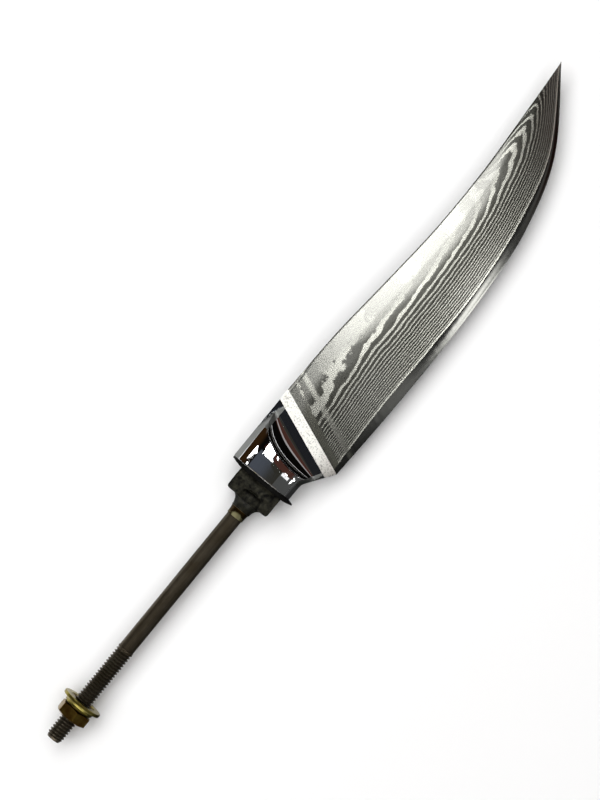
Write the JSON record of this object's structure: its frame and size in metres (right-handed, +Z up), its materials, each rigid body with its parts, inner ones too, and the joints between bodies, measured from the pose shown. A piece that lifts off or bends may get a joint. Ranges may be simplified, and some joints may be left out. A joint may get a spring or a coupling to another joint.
{
  "type": "steak knife blade with threaded tang",
  "caption": "Pattern-welded steak knife blade with a trailing point, mirror bolster, tenon and threaded rod tang that takes a push-on handle and its clamping nut.",
  "frame": {"origin": "under the middle of the part's box, on the surface that it lies on", "axes": "+X along the tang's rod towards the tip, +Y from the edge to the spine, +Z up, out of the knife's right side"},
  "size_m": [0.2274, 0.0254, 0.013],
  "materials": {
    "core_steel": "hard core steel, etched dark and sharpened",
    "clad_steel": "pattern-welded cladding, etched so that its layers show bright and dark",
    "weld_metal": "stainless weld, ground flat and frosted",
    "bolster_steel": "stainless steel, mirror polished",
    "forged_steel": "forged steel with black scale",
    "braze_brass": "brass braze, flux stained",
    "rod_steel": "plain steel rod, dark oiled, with a rolled thread",
    "zinc_steel": "steel, yellow zinc plated"
  },
  "bodies": {
    "knife": {"blade_core": "core_steel", "right_cladding": "clad_steel", "left_cladding": "clad_steel", "weld_seam": "weld_metal", "bolster": "bolster_steel", "guard_plate": "forged_steel", "tenon_block": "forged_steel", "braze_fillet": "braze_brass", "tang_rod": "rod_steel"},
    "washer": {"nut_washer": "zinc_steel"},
    "nut": {"hex_nut": "zinc_steel"}
  },
  "joints": [
    {"name": "nut_travel", "type": "slide", "parent": "knife", "child": "washer", "axis": [1, 0, 0], "range_m": [-0.0144, 0.018]},
    {"name": "nut_turn", "type": "hinge", "parent": "washer", "child": "nut", "pos_m": [-0.1048, 0.0021, 0.0065], "axis": [1, 0, 0], "continuous": true}
  ],
  "couplings": [
    {"joint": "nut_turn", "follows": "nut_travel", "rad_per_m": 6981.3}
  ]
}
